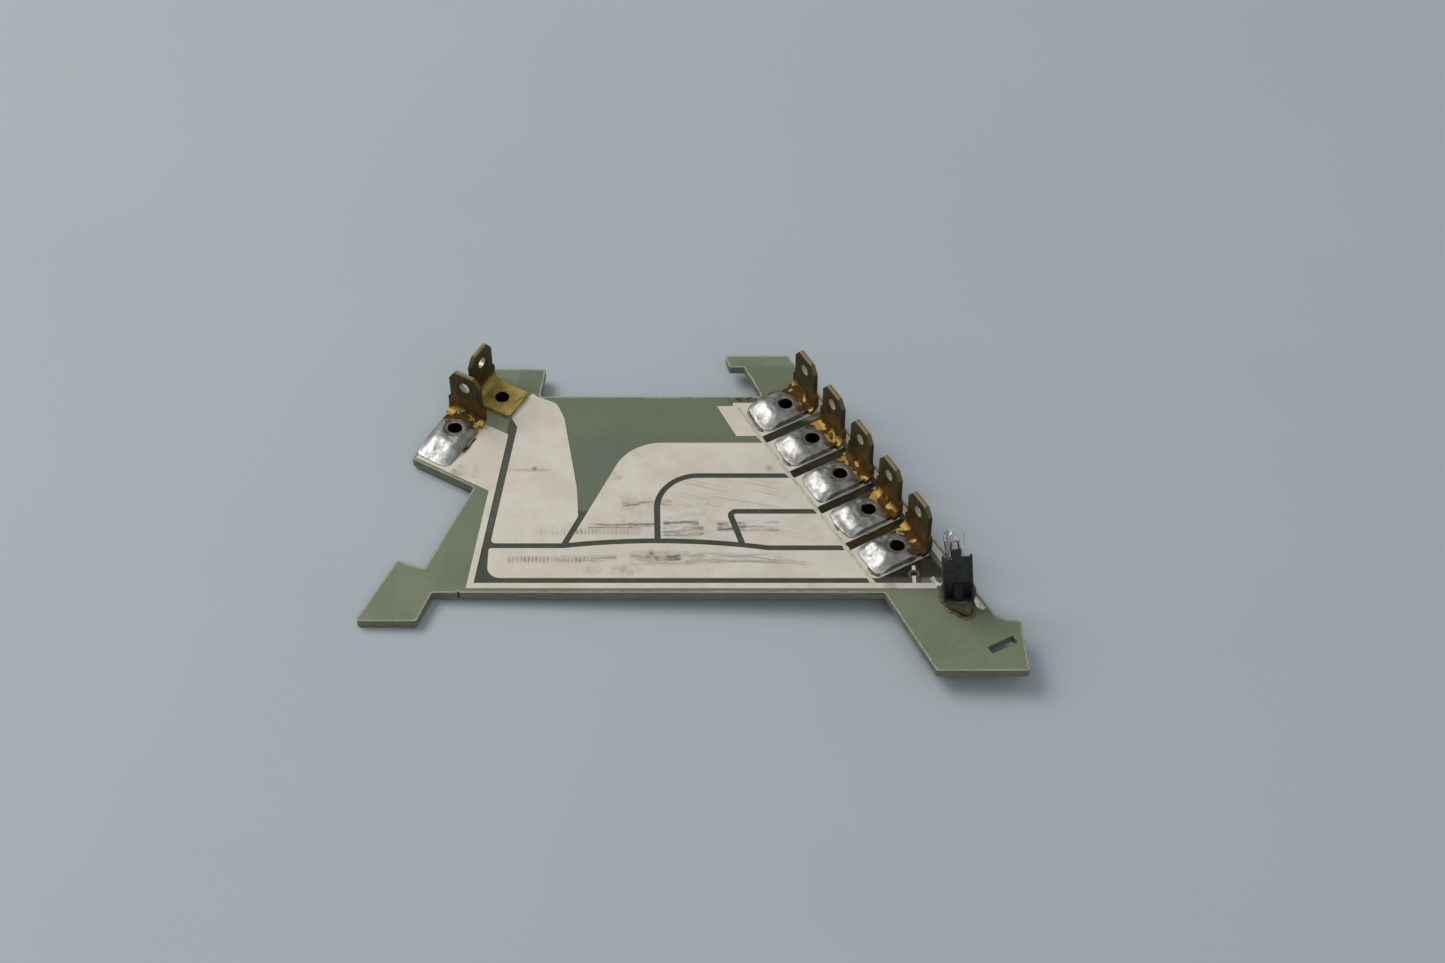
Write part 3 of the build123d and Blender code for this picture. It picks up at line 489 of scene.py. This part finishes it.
def solder_metal():
    """Bright solder, a little duller and browner where flux is left."""
    p = Paint("solder", metal=1.0)
    cloud = p.noise(0.5, 3, 0.55)
    color = p.between(cloud, 0.35, 0.7, (0.41, 0.41, 0.40), (0.27, 0.27, 0.255))
    brown = p.step(p.noise(0.6, 4, 0.6, shift=7), 0.60, 0.74, 0.0, 0.45)
    color = p.mix(brown, color, (0.20, 0.165, 0.095))
    rough = p.step(p.noise(0.9, 3, 0.6, shift=3), 0.35, 0.72, 0.36, 0.54)
    dents = p.bump(p.noise(0.8, 2, 0.5, shift=1.0), 0.55, 0.16)
    normal = p.bump(p.noise(2.2, 3, 0.6), 0.08, 0.03, dents)
    return p.finish(color=color, rough=rough, normal=normal)


def flux_resin(name, dark, pale):
    """Amber flux, glassy where it is thick."""
    p = Paint(name, ior=1.5, spec=0.6, coat=0.4, coat_rough=0.12)
    cloud = p.noise(0.9, 3)
    color = p.between(cloud, 0.35, 0.65, dark, pale)
    rough = p.step(cloud, 0.3, 0.7, 0.14, 0.32)
    return p.finish(color=color, rough=rough, normal=p.bump(cloud, 0.3, 0.06))


def yellowed_lacquer():
    """Thin line of yellowed lacquer along the roots of the pads."""
    p = Paint("lacquer_line", spec=0.5)
    cloud = p.noise(0.9, 4)
    color = p.between(cloud, 0.35, 0.65, (0.430, 0.400, 0.300), (0.560, 0.530, 0.430))
    rough = p.step(cloud, 0.3, 0.7, 0.3, 0.5)
    return p.finish(color=color, rough=rough, normal=p.bump(cloud, 0.3, 0.05))


def black_plastic():
    """Black moulding, dusty on top, with painted shade in its recesses and flux film on its flange.
    """
    p = Paint("black_plastic", spec=0.5)
    cloud = p.noise(0.7, 4)
    fine = p.noise(6.0, 3, 0.7)
    color = p.between(cloud, 0.3, 0.7, (0.012, 0.013, 0.015), (0.028, 0.030, 0.033))
    dust = p.times(p.step(fine, 0.55, 0.75), p.step(p.z, TOP + 6.6, TOP + 7.9), 0.22)
    color = p.mix(dust, color, (0.20, 0.20, 0.19))
    # painted shade in the recesses of the moulding
    recess = p.band(p.z, TOP + 2.2, TOP + 6.2, 0.4)
    color = p.mix(p.times(recess, 0.75), color, (0.004, 0.004, 0.005))
    film = p.times(p.step(p.z, TOP + 1.2, TOP + 1.7, 1.0, 0.0), p.step(cloud, 0.3, 0.6, 0.3, 0.9))
    color = p.mix(film, color, (0.135, 0.115, 0.070))
    rough = p.step(cloud, 0.3, 0.7, 0.28, 0.48)
    return p.finish(color=color, rough=rough, normal=p.bump(fine, 0.25, 0.02))


def spring_metal():
    """Bright tinned spring strip."""
    p = Paint("contact_metal", metal=0.5)
    cloud = p.noise(1.4, 3)
    color = p.between(cloud, 0.4, 0.7, (0.84, 0.81, 0.75), (0.66, 0.62, 0.54))
    rough = p.step(cloud, 0.3, 0.7, 0.16, 0.34)
    return p.finish(color=color, rough=rough, normal=p.bump(cloud, 0.2, 0.03))


def wire_metal():
    """Grey wire of the bulb's leads and filament."""
    p = Paint("filament_wire", metal=1.0)
    cloud = p.noise(3.0, 2)
    color = p.between(cloud, 0.4, 0.6, (0.50, 0.47, 0.42), (0.34, 0.31, 0.27))
    return p.finish(color=color, rough=p.step(cloud, 0.3, 0.7, 0.3, 0.45))


def clear_glass():
    """Clear glass of the bulb, slightly uneven."""
    p = Paint("clear_glass", clear=1.0, ior=1.46, color=(0.97, 0.975, 0.97), rough=0.02)
    return p.finish(normal=p.bump(p.noise(0.9, 1), 0.12, 0.06))


def rim_highlight_laminate():
    """Paler line along the rim of the board, its paleness a painted highlight."""
    p = Paint("cut_rim", spec=0.4, rough=0.55)
    cloud = p.noise(1.5, 4, 0.6)
    return p.finish(color=p.between(cloud, 0.35, 0.7, (0.235, 0.262, 0.185), (0.345, 0.365, 0.275)))


MAT = {
    "laminate": laminate(), "tinned": tinned(), "solder": solder_metal(),
    "flux": flux_resin("flux", (0.065, 0.030, 0.008), (0.230, 0.125, 0.032)),
    "old_flux": flux_resin("old_flux", (0.030, 0.022, 0.008), (0.105, 0.078, 0.026)),
    "lacquer": yellowed_lacquer(), "plastic": black_plastic(), "spring": spring_metal(),
    "glass": clear_glass(), "wire": wire_metal(), "rim": rim_highlight_laminate(),
}
SINGLE = {"board": "laminate", "lamp_holder": "plastic", "lamp_bulb": "glass",
          "lamp_filament": "wire"}


def material_of(name):
    """Material of a solid, from its name."""
    if name in SINGLE:
        return MAT[SINGLE[name]]
    if "track" in name:
        return MAT["tinned"]
    if "solder" in name:
        return MAT["solder"]
    if name.startswith("lamp_contact"):
        return MAT["spring"]
    key = name.replace("_terminal", "")
    return brass("brass_" + key, PLACES[key], key == "ear")


def dress_solids():
    """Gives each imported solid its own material."""
    for name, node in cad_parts.items():
        node.data.materials.clear()
        node.data.materials.append(material_of(name))


# Mesh helpers
def mesh_object(name, points, faces, material, body="root"):
    """A smooth object that rides on a body, from points in metres."""
    data = bpy.data.meshes.new(name)
    data.from_pydata([tuple(q) for q in points], [], faces)
    bm = bmesh.new()
    bm.from_mesh(data)
    bmesh.ops.recalc_face_normals(bm, faces=bm.faces)
    bm.to_mesh(data)
    bm.free()
    for face in data.polygons:
        face.use_smooth = True
    data.materials.append(material)
    obj = bpy.data.objects.new(name, data)
    bpy.context.scene.collection.objects.link(obj)
    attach(obj, body)
    return obj


def lattice(rows, columns, closed):
    """Faces of a grid of points, row after row, joined end to end where it is closed."""
    faces = []
    for i in range(rows if closed else rows - 1):
        j = (i + 1) % rows
        for k in range(columns - 1):
            a, b = i * columns + k, j * columns + k
            faces.append((a, a + 1, b + 1, b))
    return faces


def to_segment(point, a, b):
    """Distance of a flat point from a segment."""
    ab = b - a
    t = max(0.0, min(1.0, (point - a).dot(ab) / ab.length_squared))
    return (point - (a + ab * t)).length


def to_loop(point, loop):
    """Distance of a flat point from a closed loop."""
    return min(to_segment(point, loop[i], loop[i - 1]) for i in range(len(loop)))


def ray_to_loop(angle, loop):
    """How far the loop lies from the middle in that direction."""
    d = Vector((math.cos(angle), math.sin(angle)))
    best = 0.0
    for i in range(len(loop)):
        a, b = loop[i - 1], loop[i]
        e = b - a
        cross = d.x * e.y - d.y * e.x
        if abs(cross) < 1e-9:
            continue
        t = (a.x * e.y - a.y * e.x) / cross
        s = (a.x * d.y - a.y * d.x) / cross
        if t > 0 and -1e-6 <= s <= 1 + 1e-6:
            best = max(best, t)
    return best


def ease(t):
    """Smooth rise from nothing at 0 to one at 1."""
    t = max(0.0, min(1.0, t))
    return t * t * (3 - 2 * t)


# Solder joints, with u towards the blade and v to its left, from the terminal's hole
SOLDER_HOLE = BORE - 0.04
SOLDER_REACH, WING_REACH = 6.3, 7.9   # to the far end of a joint
SOLDER_LIFT = 0.72                    # crown of a joint above its foot
CROWN_AT, CROWN_LONG, CROWN_WIDE = -2.6, 5.2, 5.0   # where it lies, and how it falls away
RIM_SLOPE, HOLE_SLOPE = 1.7, 1.1      # width of the slopes at the rim and at the hole
WING_ROOM = 3.15                      # from the wing's hole to the edge of the wing
RAYS, RINGS = 176, 30
LUMPS = {"row_1": 0.11, "row_2": 0.13, "row_3": 0.12, "row_4": 0.18, "row_5": 0.22, "wing": 0.12}


def solder_outline(reach):
    """Plan of a joint: long away from the blade, cut slanting beside it."""
    return [Vector(q) for q in (
        (1.0 - reach, -3.52), (1.6, -3.55), (2.25, -1.6), (2.3, 0.6), (1.5, 2.2), (0.5, 3.5),
        (1.4 - reach, 3.55), (0.3 - reach, 2.9), (-reach, 1.4), (-reach, -1.8), (0.3 - reach, -2.9))]


def solder_rim(end, drift, on_wing):
    """How far the joint reaches along each of its rays, with an uneven edge."""
    outline = solder_outline(end)
    reaches = []
    for i in range(RAYS):
        angle = 2 * math.pi * i / RAYS
        d = Vector((math.cos(angle), math.sin(angle), 0))
        wobble = noise.noise(d * 1.6 + drift) * 0.22 + noise.noise(d * 5 + drift) * 0.07
        reach = ray_to_loop(angle, outline) - 0.12 + wobble
        if on_wing and math.sin(angle) > 0:
            reach = min(reach, WING_ROOM / max(1e-6, math.sin(angle)))
        reaches.append(reach)
    return reaches


def solder_height(u, v, rim, hole, end, lumps, drift):
    """Height above the copper: over the foot, domed, lumpy, and thin at its rim."""
    ramp = ease((u + end + 0.1) / (end + 0.1 - FOOT_TOE + 0.5))
    side = 1 - ease((abs(v) - FOOT_HALF) / 0.42)
    away = ((u - CROWN_AT) / CROWN_LONG) ** 2 + (v / CROWN_WIDE) ** 2
    dome = 1 - 0.55 * min(1.0, away)
    rise = SOLDER_LIFT * dome * (1 - (1 - min(1.0, rim / RIM_SLOPE)) ** 2.0)
    rise *= 0.6 + 0.4 * ease(hole / HOLE_SLOPE)
    here = Vector((u, v, 0)) * 0.42 + drift
    bumps = noise.noise(here) + noise.noise(here * 2.4) * 0.5
    rise += lumps * bumps * ease(rim / 1.2) * ease(hole / 0.7)
    return max(0.02, SHEET * ramp * side + max(rise, 0.015))


def solder_blob(name, place, lumps, seed, on_wing):
    """Solder that has run over the toe of a foot, rising smoothly from its rim."""
    end = WING_REACH if on_wing else SOLDER_REACH
    drift = Vector((seed * 3.1, seed * 1.7, seed * 0.9))
    reaches = solder_rim(end, drift, on_wing)
    angles = [2 * math.pi * i / RAYS for i in range(RAYS)]
    loop = [Vector((math.cos(a), math.sin(a))) * r for a, r in zip(angles, reaches)]
    coarse = loop[::4]
    points = []
    for a, reach in zip(angles, reaches):
        for k in range(RINGS + 1):
            r = SOLDER_HOLE + (reach - SOLDER_HOLE) * k / RINGS
            u, v = r * math.cos(a), r * math.sin(a)
            rim = to_loop(Vector((u, v)), coarse) if k < RINGS else 0.0
            height = solder_height(u, v, rim, r - SOLDER_HOLE, end, lumps, drift)
            points.append(world_point(place, u, v, COPPER + height))
    columns = RINGS + 1
    faces = lattice(RAYS, columns, closed=True)
    # close it down to the copper along its rim and round its hole
    start = len(points)
    for i in range(RAYS):
        for k, level in ((0, COPPER + 0.3), (RINGS, COPPER)):
            q = points[i * columns + k].copy()
            q.z = level * MM
            points.append(q)
    for i in range(RAYS):
        j = (i + 1) % RAYS
        inner, outer = start + 2 * i, start + 2 * i + 1
        next_inner, next_outer = start + 2 * j, start + 2 * j + 1
        faces.append((i * columns, j * columns, next_inner, inner))
        faces.append((i * columns + RINGS, outer, next_outer, j * columns + RINGS))
        faces.append((inner, next_inner, next_outer, outer))
    return mesh_object(name, points, faces, MAT["solder"])


def make_solder_joints():
    """A finer form in place of each packed joint, lumpier where the photograph shows it."""
    for seed, (key, lumps) in enumerate(LUMPS.items(), 3):
        cad = "wing_solder" if key == "wing" else "row_solder_" + key[-1]
        blob = solder_blob(cad + "_form", PLACES[key], lumps, seed, key == "wing")
        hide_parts(cad)


def puddle(name, path, width, height, level, material, seed, rough=0.3):
    """A run of resin along a path: rounded across, uneven in width and height."""
    drift = Vector((seed * 2.3, seed * 4.1, 0.5))
    line = []
    for i in range(len(path) - 1):
        steps = max(2, int((path[i + 1] - path[i]).length / 0.18))
        for k in range(steps):
            line.append(path[i].lerp(path[i + 1], k / steps))
    line.append(path[-1])
    across = 10
    points = []
    for i, q in enumerate(line):
        ahead = line[min(i + 1, len(line) - 1)] - line[max(i - 1, 0)]
        side = Vector((-ahead.y, ahead.x)).normalized()
        end = min(i, len(line) - 1 - i) / 3.0
        taper = math.sqrt(max(0.02, min(1.0, end)))
        here = Vector((q.x, q.y, 0)) * 0.9 + drift
        half = width / 2 * taper * (1 + rough * 2 * noise.noise(here))
        slip = width * rough * 0.5 * noise.noise(here * 0.7 + drift)
        for k in range(across + 1):
            t = 2 * k / across - 1
            bulge = math.sqrt(max(0.0, 1 - t * t))
            z = level + height * bulge * taper * (1 + 0.5 * noise.noise(here * 1.7))
            spot = q + side * (half * t + slip)
            points.append(Vector((spot.x, spot.y, z if 0 < k < across else level - 0.01)) * MM)
    columns = across + 1
    faces = lattice(len(line), columns, closed=False)
    faces.append(tuple(range(columns)))
    faces.append(tuple(reversed(range((len(line) - 1) * columns, len(line) * columns))))
    return mesh_object(name, points, faces, material)


def ring(name, centre, inner, outer, height, level, material, seed):
    """A lumpy collar round a post."""
    rays, across = 96, 10
    drift = Vector((seed, seed * 0.7, 0))
    points = []
    for i in range(rays):
        a = 2 * math.pi * i / rays
        d = Vector((math.cos(a), math.sin(a), 0))
        swell = 1 + 0.9 * noise.noise(d * 1.3 + drift) + 0.25 * noise.noise(d * 4 + drift)
        wide = (outer - inner) * max(0.25, swell)
        for k in range(across + 1):
            t = k / across
            z = level + height * max(0.2, swell) * (1 - t) ** 0.6
            r = inner + wide * t
            points.append(Vector((centre.x + d.x * r, centre.y + d.y * r, z)) * MM)
    return mesh_object(name, points, lattice(rays, across + 1, closed=True), material)


# Flux that ran out of the joints: paths along and across each terminal, and their widths
FLUX = {
    "row_1": [([(-6.2, 2.6), (-6.5, 0.4), (-6.6, -1.8), (-6.2, -3.1)], 0.55),
              ([(-3.5, 3.9), (-1.2, 4.1), (1.2, 3.9)], 0.5)],
    "row_2": [([(-6.3, -0.4), (-6.5, -1.6), (-6.1, -3.0)], 0.45),
              ([(2.4, 2.6), (3.0, 3.4)], 0.5)],
    "row_3": [([(-6.2, -2.2), (-5.6, -3.4)], 0.4), ([(-1.5, -3.9), (1.5, -3.9)], 0.4)],
    "row_4": [([(-6.4, 0.8), (-6.5, -1.0)], 0.35), ([(-3.0, -3.8), (-0.5, -3.9)], 0.4)],
    "row_5": [([(-6.3, -0.8), (-6.4, -2.4), (-5.4, -3.6)], 0.5)],
    "wing": [([(-3.5, -3.8), (-1.2, -3.9), (0.6, -3.8)], 0.5)],
}
BROWN_FLUX = ("wing", "row_5", "row_3")

# Runs of resin on the board, on the photograph's plan
GRIP_RUN = ((36.9, -27.0), (38.2, -28.2), (39.6, -29.0), (40.7, -29.5), (41.3, -28.7), (41.5, -27.3))
EDGE_RUN = ((1.8, 18.9), (3.4, 18.7), (5.0, 18.8), (6.6, 18.5))


def make_flux():
    """Flux by the joints, in short runs."""
    for key, runs in FLUX.items():
        tone = MAT["old_flux" if key in BROWN_FLUX else "flux"]
        for i, (pairs, width) in enumerate(runs):
            run = at_place(PLACES[key], pairs)
            puddle(f"flux_{key}_{i}", run, width, 0.16, COPPER, tone, len(key) + i * 3.3)


def make_resin():
    """Lacquer along the pads, and resin round the socket's foot and on the back edge."""
    roots = [on_edge(PADS_BEGIN, PAD_ROOT), on_edge(PADS_END, PAD_ROOT)]
    puddle("lacquer_line", roots, 0.8, 0.04, COPPER, MAT["lacquer"], 2.0, rough=0.25)
    ring("lamp_flux", LAMP, 2.85, 3.15, 0.25, COPPER - 0.1, MAT["old_flux"], 5.0)
    grip_run = [Vector(q) + PLAN.xy for q in GRIP_RUN]
    puddle("grip_flux", grip_run, 1.05, 0.26, TOP, MAT["old_flux"], 6.0)
    edge_run = [Vector(q) + PLAN.xy for q in EDGE_RUN]
    puddle("edge_flux", edge_run, 0.8, 0.10, TOP, MAT["old_flux"], 9.0, rough=0.4)


RIM_WIDTH = 0.28


def rim_edges(bm):
    """Edges between the board's top face and its sides."""
    return [e for e in bm.edges
            if len(e.link_faces) == 2
            and all(abs(v.co.z - TOP * MM) < 1e-6 for v in e.verts)
            and sum(abs(f.normal.z) > 0.9 for f in e.link_faces) == 1]


def board_outline():
    """The outer loop of the rim of the board's top face, in mm."""
    bm = bmesh.new()
    bm.from_mesh(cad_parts["board"].data)
    bmesh.ops.remove_doubles(bm, verts=bm.verts, dist=1e-7)
    rims = rim_edges(bm)
    follow = {}
    for e in rims:
        for v in e.verts:
            follow.setdefault(v.index, []).append(e.other_vert(v))
    loops, seen = [], set()
    for e in rims:
        here, last, loop = e.verts[0], None, []
        while here.index not in seen:
            seen.add(here.index)
            loop.append(here.co.xy / MM)
            ahead = [v for v in follow[here.index] if v is not last]
            ahead = [v for v in ahead if v.index not in seen] or ahead
            last, here = here, ahead[0]
        loops.append(loop)
    bm.free()
    return max(loops, key=len)


def make_rim():
    """A slim raised line just inside the rim of the board, uneven in width; its pale colour is a
    painted highlight.
    """
    loop = board_outline()
    swept = sum(loop[i - 1].x * loop[i].y - loop[i].x * loop[i - 1].y for i in range(len(loop)))
    sign = 1 if swept > 0 else -1
    path = []
    for i in range(len(loop)):
        a, b = loop[i - 1], loop[i]
        steps = max(1, int((b - a).length / 0.6))
        for k in range(steps):
            path.append(a.lerp(b, k / steps))
    points = []
    for i, q in enumerate(path):
        ahead = (path[(i + 1) % len(path)] - path[i - 1]).normalized()
        inward = Vector((-ahead.y, ahead.x)) * sign
        here = Vector((q.x, q.y, 0)) * 0.5
        w = RIM_WIDTH * (1 + 0.5 * noise.noise(here) + 0.3 * noise.noise(here * 4))
        section = ((0.0, -0.02), (0.02, 0.025), (w, 0.006), (w + 0.03, -0.01))
        for inset, rise in section:
            spot = q + inward * inset
            points.append(Vector((spot.x, spot.y, TOP + rise)) * MM)
    mesh_object("board_rim", points, lattice(len(path), len(section), closed=True), MAT["rim"])


# Floor, light and camera
FLOOR_REACH = 2600.0
FLOOR_GAP = 0.15                   # how far it lies below the points that rest on it
ELEVATION = 50                     # of the camera, in degrees
FOCAL_PIXELS, PHOTO_WIDTH = 3000.0, 1445.0
CAMERA_AWAY = 0.5128               # in metres
FILM_WIDTH = 36.0


def plane_through(a, b, c):
    """Height of the plane through three points, as a function of X and Y."""
    n = (b - a).cross(c - a)
    return lambda x, y: a.z - (n.x * (x - a.x) + n.y * (y - a.y)) / n.z


def make_floor():
    """Plain floor under the lamp's knob, the wing's eyelet and the tip of the left leg."""
    p = Paint("floor", spec=0.25, rough=0.6)
    p.finish(color=p.mix(p.noise(0.02, 3), (0.385, 0.436, 0.460), (0.405, 0.458, 0.482)))
    wing = PLACES["wing"][0]
    stand = plane_through(Vector((LAMP.x, LAMP.y, 0.0)),
                          Vector((wing.x, wing.y, UNDER - EYELET_DROP)),
                          Vector((LEFT_LEG_TIP.x, LEFT_LEG_TIP.y, UNDER)))
    corners = [(-FLOOR_REACH, -FLOOR_REACH), (FLOOR_REACH, -FLOOR_REACH),
               (FLOOR_REACH, FLOOR_REACH), (-FLOOR_REACH, FLOOR_REACH)]
    points = [(x * MM, y * MM, (stand(x, y) - FLOOR_GAP) * MM) for x, y in corners]
    data = bpy.data.meshes.new("floor")
    data.from_pydata(points, [], [(0, 1, 2, 3)])
    data.materials.append(p.mat)
    floor = bpy.data.objects.new("floor", data)
    bpy.context.scene.collection.objects.link(floor)


def area_light(name, place, size, watts, color):
    """A rectangular lamp that looks at the middle of the board."""
    light = bpy.data.lights.new(name, "AREA")
    light.shape = "RECTANGLE"
    light.size, light.size_y = size
    light.energy = watts
    light.color = color
    obj = bpy.data.objects.new(name, light)
    obj.location = place
    obj.rotation_mode = "QUATERNION"
    obj.rotation_quaternion = (-Vector(place)).to_track_quat("-Z", "Y")
    bpy.context.scene.collection.objects.link(obj)


def make_light():
    """A warm key from the back left, a cool fill from the front right and a pale sky."""
    area_light("key", (-0.62, 0.34, 0.85), (0.75, 0.55), 7.6, (1.0, 0.98, 0.95))
    area_light("fill", (0.35, -0.75, 0.9), (0.9, 0.9), 2.4, (0.94, 0.97, 1.0))
    world = bpy.data.worlds.new("world")
    bpy.context.scene.world = world
    world.use_nodes = True
    background = world.node_tree.nodes["Background"]
    background.inputs["Color"].default_value = (0.63, 0.66, 0.68, 1.0)
    background.inputs["Strength"].default_value = 0.55


def make_camera():
    """Camera at the photograph's place, height and focal length."""
    data = bpy.data.cameras.new("camera")
    data.sensor_width = FILM_WIDTH
    data.lens = FILM_WIDTH * FOCAL_PIXELS / PHOTO_WIDTH
    data.clip_start, data.clip_end = 0.01, 20.0
    camera = bpy.data.objects.new("camera", data)
    tilt = math.radians(ELEVATION)
    aim = Vector((PLAN.x, PLAN.y, TOP)) * MM
    back = Vector((0, -math.cos(tilt), math.sin(tilt)))
    camera.location = aim + back * CAMERA_AWAY
    camera.rotation_mode = "QUATERNION"
    camera.rotation_quaternion = (-back).to_track_quat("-Z", "Y")
    bpy.context.scene.collection.objects.link(camera)
    bpy.context.scene.camera = camera


dress_solids()
make_solder_joints()
make_flux()
make_resin()
make_rim()
make_floor()
make_light()
make_camera()
bpy.context.scene.view_settings.view_transform = "Standard"
